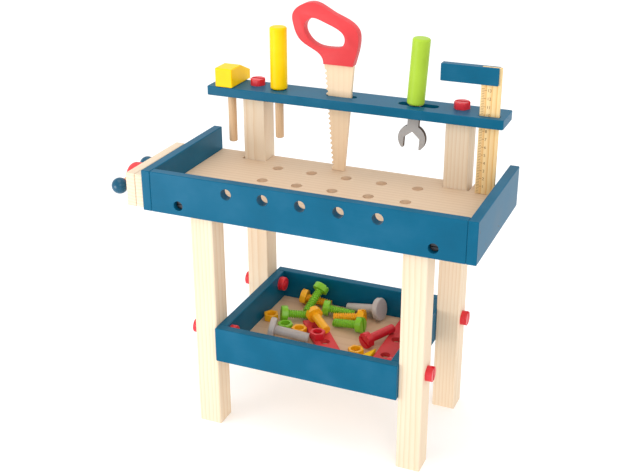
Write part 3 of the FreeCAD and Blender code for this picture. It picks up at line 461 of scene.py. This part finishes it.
def moulded(name, rgb, roughness=0.34):
    """Injection-moulded ABS: even colour right through, and the faint ripple that the mould leaves."""
    material, shader = new_material(name)
    place = add(material, "ShaderNodeTexCoord")
    ripple = add(material, "ShaderNodeTexNoise", values={"Scale": 1 / (3.5 * MM), "Detail": 2.0},
                 links={"Vector": place.outputs["Object"]})
    fine = add(material, "ShaderNodeTexNoise", values={"Scale": 1 / (0.5 * MM), "Detail": 1.0},
               links={"Vector": place.outputs["Object"]})
    base = ramp(material, ripple.outputs["Fac"], [(0.3, [c * 0.93 for c in rgb]), (0.7, list(rgb))])
    connect(material, base, shader.inputs["Base Color"])
    rough = add(material, "ShaderNodeMapRange", values={"To Min": roughness - 0.05,
                "To Max": roughness + 0.06}, links={"Value": fine.outputs["Fac"]})
    connect(material, rough.outputs["Result"], shader.inputs["Roughness"])
    bump = add(material, "ShaderNodeBump", values={"Strength": 0.12, "Distance": 0.08 * MM},
               links={"Height": ripple.outputs["Fac"]})
    connect(material, bump.outputs["Normal"], shader.inputs["Normal"])
    shader.inputs["IOR"].default_value = 1.54
    return material


def two_faced(name, face_rgb, edge_rgb, along="Z"):
    """Painted plywood sheet cut by laser: the broad faces keep their paint, the cut is scorched."""
    material = paint(name, face_rgb, along, roughness=0.5, grain=0.6, coat=0.0)
    shader = next(n for n in material.node_tree.nodes if n.type == "BSDF_PRINCIPLED")
    face_colour = shader.inputs["Base Color"].links[0].from_socket
    place = add(material, "ShaderNodeTexCoord")
    facing = add(material, "ShaderNodeSeparateXYZ", links={"Vector": place.outputs["Normal"]})
    size = add(material, "ShaderNodeMath", {"operation": "ABSOLUTE"}, links={0: facing.outputs["Y"]})
    flat = add(material, "ShaderNodeMapRange", values={"From Min": 0.55, "From Max": 0.8},
               links={"Value": size.outputs[0]})
    mixed = add(material, "ShaderNodeMix", {"data_type": "RGBA"},
                links={"Factor": flat.outputs["Result"]})
    cut, face = (next(s for s in mixed.inputs if s.name == name and s.type == "RGBA") for name in "AB")
    cut.default_value = opaque(edge_rgb)
    connect(material, face_colour, face)
    connect(material, next(s for s in mixed.outputs if s.type == "RGBA"), shader.inputs["Base Color"])
    return material


def wire_steel(name):
    """Drawn staple wire with a dull grey oxide."""
    material, shader = new_material(name)
    place = add(material, "ShaderNodeTexCoord")
    specks = add(material, "ShaderNodeTexNoise", values={"Scale": 1 / (0.3 * MM)},
                 links={"Vector": place.outputs["Object"]})
    base = ramp(material, specks.outputs["Fac"], [(0.3, linear("#3A3A3C")), (0.7, linear("#5A5A5E"))])
    connect(material, base, shader.inputs["Base Color"])
    shader.inputs["Metallic"].default_value = 1.0
    shader.inputs["Roughness"].default_value = 0.45
    return material


def middle_of(node):
    low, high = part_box(node)
    return (low + high) / 2


def wood_for(node, along, pale, dark, offset, **settings):
    """Wood whose pith lies beside the node by an offset across the grain, in millimetres."""
    centre = middle_of(node)
    across = {"X": (-centre.z, centre.y), "Y": (centre.x, centre.z), "Z": (centre.x, centre.y)}[along]
    pith = (across[0] + offset[0] * MM, across[1] + offset[1] * MM, 0.037 * len(node))
    return wood(f"{node}_wood", along, pith, pale, dark, **settings)


def softbox(name, place, target, size, power):
    """Add a rectangular light at a place, facing a target; metres and watts."""
    pick()
    bpy.ops.object.light_add(type="AREA", location=place)
    lamp = bpy.context.object
    lamp.name = name
    lamp.data.shape = "RECTANGLE"
    lamp.data.size, lamp.data.size_y = size
    lamp.data.energy = power
    lamp.rotation_euler = (Vector(target) - Vector(place)).to_track_quat("-Z", "Y").to_euler()


# ---------------------------------------------------------------- operators

class WORKBENCH_OT_stage(bpy.types.Operator):
    """Add the lit floor, the soft lights and the camera."""
    bl_idname = "workbench.stage"
    bl_label = "Stage"

    def execute(self, context):
        pick()
        bpy.ops.object.camera_add(location=CAMERA_PLACE)
        camera = context.object
        level = math.cos(CAMERA_ELEVATION)
        ahead = Vector((-math.sin(CAMERA_AZIMUTH) * level, math.cos(CAMERA_AZIMUTH) * level,
                        -math.sin(CAMERA_ELEVATION)))
        turn = ahead.to_track_quat("-Z", "Y").to_matrix() @ Matrix.Rotation(CAMERA_ROLL, 3, "Z")
        camera.rotation_euler = turn.to_euler()
        camera.data.lens = CAMERA_LENS_MM
        camera.data.sensor_width = 36.0
        camera.data.clip_start = 0.01
        context.scene.camera = camera

        bpy.ops.mesh.primitive_plane_add(size=FLOOR_SIZE, location=(0, 0, 0))
        floor = context.object
        floor.name = "floor"
        material, shader = new_material("matt_white_floor")
        place = add(material, "ShaderNodeTexCoord")
        mottle = add(material, "ShaderNodeTexNoise", values={"Scale": 6.0},
                     links={"Vector": place.outputs["Object"]})
        tone = colours().floor
        base = ramp(material, mottle.outputs["Fac"], [(0.3, [c * 0.985 for c in tone]), (0.7, list(tone))])
        connect(material, base, shader.inputs["Base Color"])
        shader.inputs["Roughness"].default_value = 0.9
        shader.inputs["Specular IOR Level"].default_value = 0.0
        shader.inputs["Emission Color"].default_value = (1.0, 1.0, 1.0, 1.0)
        shader.inputs["Emission Strength"].default_value = FLOOR_GLOW
        dress(floor, material)

        world = context.scene.world or bpy.data.worlds.new("studio")
        context.scene.world = world
        world.use_nodes = True
        background = next(n for n in world.node_tree.nodes if n.type == "BACKGROUND")
        background.inputs["Color"].default_value = (1.0, 1.0, 1.0, 1.0)
        background.inputs["Strength"].default_value = 1.0

        for name, place, target, size, power in SOFTBOXES:
            softbox(name, place, target, size, power)
        context.scene.view_settings.view_transform = "Standard"
        return {"FINISHED"}


class WORKBENCH_OT_bare_wood(bpy.types.Operator):
    """Give the legs, boards, jaws, blades and dowels their bare wood."""
    bl_idname = "workbench.bare_wood"
    bl_label = "Bare wood"

    def execute(self, context):
        tones = colours()
        pine = (list(tones.pine_pale), list(tones.pine_dark))
        ply = (list(tones.ply_pale), list(tones.ply_dark))
        beech = (list(tones.dowel), [c * 0.8 for c in tones.dowel])
        nodes = frame["nodes"]
        boards = {
            "front_left_leg": ("Z", (-44, -30)), "front_right_leg": ("Z", (38, -52)),
            "rear_left_upright": ("Z", (25, -60)), "rear_right_upright": ("Z", (-55, -28)),
            "vise_fixed_jaw": ("Y", (30, 45)), "vise_moving_jaw": ("Y", (-42, 35)),
        }
        for node, (along, offset) in boards.items():
            dress(nodes[node], wood_for(node, along, *pine, offset))
        dress(nodes["worktop_board"], wood_for("worktop_board", "X", *ply, (70, -160), ring_mm=7.0,
                                               contrast=0.8))
        dress(nodes["tray_floor"], wood_for("tray_floor", "X", *ply, (90, 60), ring_mm=9.0, contrast=0.7))
        dress(nodes["try_square_blade"], wood_for("try_square_blade", "Z", linear("#F7DDA8"),
                                                  linear("#E2A95B"), (-20, -40), ring_mm=4.0, contrast=1.2))
        for node, along in (("hammer_handle", "Z"), ("screwdriver_shaft", "Z"), ("vise_handle_bar", "Y"),
                            ("vise_guide_pins", "X")):
            dress(nodes[node], wood_for(node, along, *beech, (12, 18), ring_mm=2.5, contrast=0.8,
                                        roughness=0.5, fibre_mm=0.5))
        return {"FINISHED"}


class WORKBENCH_OT_paint(bpy.types.Operator):
    """Spray the boards, grips, jaws and balls with satin lacquer."""
    bl_idname = "workbench.paint"
    bl_label = "Paint"

    def execute(self, context):
        tones = colours()
        nodes = frame["nodes"]
        blue_along_x = paint("blue_satin_lacquer_x", tones.blue, "X")
        blue_along_y = paint("blue_satin_lacquer_y", tones.blue, "Y")
        for node in ("front_panel", "tool_shelf", "tray_front", "tray_back", "try_square_stock"):
            dress(nodes[node], blue_along_x)
        for node in ("left_side_panel", "right_side_panel", "tray_left_side", "tray_right_side"):
            dress(nodes[node], blue_along_y)
        ball = paint("blue_gloss_lacquer", [c * 0.72 for c in tones.blue], "Y", roughness=0.22, grain=0.1,
                     coat=0.5)
        for node in ("vise_handle_front_ball", "vise_handle_rear_ball"):
            dress(nodes[node], ball)
        red = paint("red_satin_lacquer", tones.red, "X", roughness=0.34, grain=0.3)
        for node in ("vise_hub", "red_bar_1", "red_bar_2"):
            dress(nodes[node], red)
        yellow = paint("yellow_satin_lacquer", tones.yellow, "Z", roughness=0.34, grain=0.3)
        for node in ("hammer_head", "screwdriver_handle"):
            dress(nodes[node], yellow)
        dress(nodes["wrench_handle"], paint("green_satin_lacquer", tones.green, "Z", 0.34, 0.3))
        return {"FINISHED"}


class WORKBENCH_OT_fasteners(bpy.types.Operator):
    """Give the assembly bolts, nuts, nails and staples their plastic and wire."""
    bl_idname = "workbench.fasteners"
    bl_label = "Fasteners"

    def execute(self, context):
        tones = colours()
        nodes = frame["nodes"]
        red = moulded("red_moulded_abs", tones.red_plastic)
        for node in ("front_leg_bolts", "upright_bolts", "shelf_bolts", "tray_bolts", "tray_nuts",
                     "red_bolt"):
            dress(nodes[node], red)
        grey = moulded("grey_moulded_abs", tones.grey_plastic, roughness=0.42)
        for node in ("grey_nail_1", "grey_nail_2"):
            dress(nodes[node], grey)
        dress(nodes["yellow_bolt_3"], moulded("amber_moulded_abs", tones.yellow_plastic))
        for node in ("panel_staples", "recessed_front_bolts"):
            dress(nodes[node], wire_steel(f"{node}_steel"))
        return {"FINISHED"}


def threaded_rod(name, radius, depth, pitch, length):
    """A solid rod from the origin along +Z with a rounded helical thread, cut flat at both ends."""
    turns = int(math.ceil(length / pitch)) + 3
    root = radius - depth
    pick()
    bpy.ops.mesh.primitive_plane_add(size=2 * MM, location=(0, 0, 0))
    rod = bpy.context.object
    rod.name = name
    bpy.ops.object.mode_set(mode="EDIT")
    bpy.ops.mesh.select_mode(type="VERT")
    bpy.ops.mesh.select_all(action="SELECT")
    bpy.ops.mesh.merge(type="CENTER")
    bpy.ops.transform.translate(value=(root, 0, -1.5 * pitch))
    steps = ((depth * 0.85, 0.22), (depth * 0.15, 0.12), (0.0, 0.10), (-depth * 0.15, 0.12),
             (-depth * 0.85, 0.22), (0.0, 0.22))
    for outward, share in steps:
        bpy.ops.mesh.extrude_region_move(TRANSFORM_OT_translate={"value": (outward, 0, share * pitch)})
    bpy.ops.object.mode_set(mode="OBJECT")
    modify(rod, "SCREW", screw_offset=pitch, iterations=turns, steps=sizes().turn_steps,
           render_steps=sizes().turn_steps, use_normal_calculate=True)
    tidy_normals(rod)
    for height, outer in ((0.0, False), (length, True)):
        pick(rod)
        bpy.ops.object.mode_set(mode="EDIT")
        bpy.ops.mesh.select_all(action="SELECT")
        bpy.ops.mesh.bisect(plane_co=(0, 0, height), plane_no=(0, 0, 1), use_fill=True,
                            clear_inner=not outer, clear_outer=outer, threshold=BISECT)
        bpy.ops.object.mode_set(mode="OBJECT")
    tidy_normals(rod)
    return rod


def slotted_head(name, radius, height, slot_width, slot_depth):
    """A six-sided head with its corners turned off, from the origin along +Z, its slot along Y on
    the low side."""
    pick()
    bpy.ops.mesh.primitive_cylinder_add(vertices=64, radius=radius, depth=height,
                                        location=(0, 0, height / 2))
    head = settle()
    head.name = name
    select_edges(head, lambda start, end: max(start.z, end.z) < MERGE)
    bpy.ops.mesh.bevel(offset=HEAD_ROUND, segments=4, affect="EDGES")
    pick()
    bpy.ops.mesh.primitive_cylinder_add(vertices=6, radius=radius * HEAD_CORNER, depth=2 * height,
                                        location=(0, 0, height / 2))
    hexagon = settle()
    modify(head, "BOOLEAN", operation="INTERSECT", object=hexagon, solver="EXACT")
    bpy.data.objects.remove(hexagon)
    pick()
    bpy.ops.mesh.primitive_cube_add(size=1.0, location=(0, 0, slot_depth / 2 - 1 * MM))
    cutter = bpy.context.object
    cutter.scale = (slot_width, 3 * radius, slot_depth + 2 * MM)
    settle()
    modify(head, "BOOLEAN", operation="DIFFERENCE", object=cutter, solver="EXACT")
    bpy.data.objects.remove(cutter)
    return head


class WORKBENCH_OT_threaded_bolts(bpy.types.Operator):
    """Model the loose bolts with real threads and slotted heads in place of the plain ones."""
    bl_idname = "workbench.threaded_bolts"
    bl_label = "Threaded bolts"

    def execute(self, context):
        tones, size = colours(), sizes()
        plastics = {"green": moulded("green_moulded_abs", tones.green_plastic),
                    "yellow": moulded("yellow_moulded_abs", tones.yellow_plastic)}
        models = {}
        for node, hue in LOOSE_BOLTS.items():
            start, axis, side, length = turned_frame(node)
            key = round(length / MM)
            if key not in models:
                head = slotted_head("bolt_head", BOLT_HEAD_RADIUS, BOLT_HEAD_HEIGHT, size.slot_width,
                                    size.slot_depth)
                rod_start = BOLT_HEAD_HEIGHT - SHANK_SUNK_IN_HEAD
                rod = threaded_rod("bolt_rod", BOLT_SHANK_RADIUS, size.thread_depth,
                                   size.thread_pitch, length - rod_start)
                pick(rod)
                bpy.ops.transform.translate(value=(0, 0, rod_start))
                settle()
                modify(head, "BOOLEAN", operation="UNION", object=rod, solver="EXACT")
                bpy.data.objects.remove(rod)
                smooth(head, 32.0)
                models[key] = head
            piece = copy_of(models[key], node + "_finished")
            place_along(piece, start, axis, side)
            stand_for(piece, node, plastics[hue])
        for model in models.values():
            bpy.data.objects.remove(model)
        return {"FINISHED"}


class WORKBENCH_OT_vise_screw(bpy.types.Operator):
    """Cut the coarse wooden thread on the vise's screw."""
    bl_idname = "workbench.vise_screw"
    bl_label = "Vise screw"

    def execute(self, context):
        size = sizes()
        low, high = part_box("vise_screw")
        centre = (low + high) / 2
        screw = threaded_rod("vise_screw_thread", SCREW_RADIUS, size.screw_depth, size.screw_pitch,
                             high.x - low.x)
        place_along(screw, Vector((low.x, centre.y, centre.z)), Vector((1, 0, 0)), Vector((0, 1, 0)))
        pick()
        flange_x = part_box("vise_moving_jaw")[1].x - FLANGE_DEPTH / 2 - FLANGE_GAP
        bpy.ops.mesh.primitive_cylinder_add(vertices=48, radius=FLANGE_RADIUS, depth=FLANGE_DEPTH,
                                            location=(flange_x, centre.y, centre.z),
                                            rotation=(0, math.radians(90), 0))
        flange = settle()
        modify(screw, "BOOLEAN", operation="UNION", object=flange, solver="EXACT")
        bpy.data.objects.remove(flange)
        smooth(screw, 40.0)
        tones = colours()
        stand_for(screw, "vise_screw", wood_for("vise_screw", "X", list(tones.dowel),
                                                [c * 0.8 for c in tones.dowel], (8, 9), ring_mm=2.0))
        return {"FINISHED"}


class WORKBENCH_OT_softened_edges(bpy.types.Operator):
    """Round the edges of the cut and moulded parts in place of the sharp design shapes."""
    bl_idname = "workbench.softened_edges"
    bl_label = "Softened edges"

    def execute(self, context):
        tones = colours()
        green, yellow = tones.green_plastic, tones.yellow_plastic
        saw_wood = wood_for("saw_blade", "Z", linear("#F2D6B4"), linear("#E0B88C"), (60, -30),
                            ring_mm=6.0, contrast=0.35)
        finishes = {
            "saw_handle": paint("red_saw_lacquer", tones.red, "X", 0.36, 0.3),
            "saw_blade": saw_wood,
            "wrench_jaw": two_faced("grey_lasercut_ply", tones.grey, tones.cut_edge),
            "green_nut": moulded("green_nut_abs", green),
            "red_nut": moulded("red_nut_abs", tones.red_plastic),
            "yellow_wedge": paint("yellow_wedge_lacquer", tones.yellow, "X", 0.4, 0.3),
        }
        nut_plastic = moulded("yellow_nut_abs", yellow)
        for node, width in SOFTENED.items():
            piece = copy_of(frame["nodes"][node], f"{node}_finished")
            piece.parent = None
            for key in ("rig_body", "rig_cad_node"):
                if key in piece:
                    del piece[key]
            tidy_normals(piece)
            bpy.ops.object.mode_set(mode="EDIT")
            bpy.ops.mesh.select_all(action="SELECT")
            bpy.ops.mesh.dissolve_limited(angle_limit=math.radians(2.0))
            bpy.ops.object.mode_set(mode="OBJECT")
            modify(piece, "BEVEL", width=width * MM, segments=3, limit_method="ANGLE",
                   angle_limit=math.radians(38), use_clamp_overlap=True)
            smooth(piece, 40.0)
            stand_for(piece, node, finishes.get(node, nut_plastic))
        return {"FINISHED"}


class WORKBENCH_OT_ruler_marks(bpy.types.Operator):
    """Print the ruler's ticks and plain numbers on the try square's blade."""
    bl_idname = "workbench.ruler_marks"
    bl_label = "Ruler marks"

    def execute(self, context):
        low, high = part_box("try_square_blade")
        stock_low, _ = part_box("try_square_stock")
        step = sizes().tick_step
        per_centimetre = round(CENTIMETRE / step)
        marks = []
        reach = stock_low.z - low.z - PRINT_BELOW_STOCK
        for i in range(1, int(reach / step)):
            height = low.z + i * step
            long_tick = i % per_centimetre == 0
            width = LONG_TICK if long_tick else SHORT_TICK
            pick()
            bpy.ops.mesh.primitive_cube_add(size=1.0, location=(low.x + TICK_FROM_EDGE + width / 2,
                                                                low.y - INK_DEPTH / 2, height))
            tick = bpy.context.object
            tick.scale = (width, INK_DEPTH, TICK_HEIGHT)
            marks.append(settle())
            if long_tick:
                pick()
                bpy.ops.object.text_add(rotation=(math.radians(90), 0, 0),
                                        location=(low.x + NUMBER_FROM_EDGE, low.y - INK_DEPTH,
                                                  height - NUMBER_DROP))
                number = bpy.context.object
                number.data.body = str(i // per_centimetre)
                number.data.size = NUMBER_SIZE
                number.data.extrude = INK_DEPTH / 2
                bpy.ops.object.convert(target="MESH")
                marks.append(settle())
        pick(*marks)
        bpy.ops.object.join()
        ruler = bpy.context.object
        ruler.name = "ruler_marks"
        ruler.data.name = "ruler_marks"
        material, shader = new_material("brown_printing_ink")
        place = add(material, "ShaderNodeTexCoord")
        wear = add(material, "ShaderNodeTexNoise", values={"Scale": 1 / (0.8 * MM), "Detail": 2.0},
                   links={"Vector": place.outputs["Object"]})
        tone = list(colours().ink)
        base = ramp(material, wear.outputs["Fac"], [(0.35, tone), (0.75, [c * 1.7 for c in tone])])
        connect(material, base, shader.inputs["Base Color"])
        shader.inputs["Roughness"].default_value = 0.7
        dress(ruler, material)
        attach(ruler, "try_square")
        return {"FINISHED"}


class WORKBENCH_PT_panel(bpy.types.Panel):
    """Lists the finishing steps."""
    bl_idname = "WORKBENCH_PT_panel"
    bl_label = "Toy workbench"
    bl_space_type = "VIEW_3D"
    bl_region_type = "UI"
    bl_category = "Workbench"

    def draw(self, context):
        for operator in OPERATORS:
            self.layout.operator(operator.bl_idname)
        for group in (context.scene.workbench_colours, context.scene.workbench_sizes):
            for name in group.bl_rna.properties.keys():
                if name not in ("rna_type", "name"):
                    self.layout.prop(group, name)


OPERATORS = (WORKBENCH_OT_stage, WORKBENCH_OT_bare_wood, WORKBENCH_OT_paint, WORKBENCH_OT_fasteners,
             WORKBENCH_OT_threaded_bolts, WORKBENCH_OT_vise_screw, WORKBENCH_OT_softened_edges,
             WORKBENCH_OT_ruler_marks)
CLASSES = (WorkbenchColours, WorkbenchSizes, *OPERATORS, WORKBENCH_PT_panel)


def register():
    for cls in CLASSES:
        bpy.utils.register_class(cls)
    bpy.types.Scene.workbench_colours = PointerProperty(type=WorkbenchColours)
    bpy.types.Scene.workbench_sizes = PointerProperty(type=WorkbenchSizes)


def unregister():
    del bpy.types.Scene.workbench_sizes
    del bpy.types.Scene.workbench_colours
    for cls in reversed(CLASSES):
        bpy.utils.unregister_class(cls)


def main():
    register()
    bpy.ops.workbench.stage()
    bpy.ops.workbench.bare_wood()
    bpy.ops.workbench.paint()
    bpy.ops.workbench.fasteners()
    bpy.ops.workbench.threaded_bolts()
    bpy.ops.workbench.vise_screw()
    bpy.ops.workbench.softened_edges()
    bpy.ops.workbench.ruler_marks()


if __name__ == "__main__":
    main()
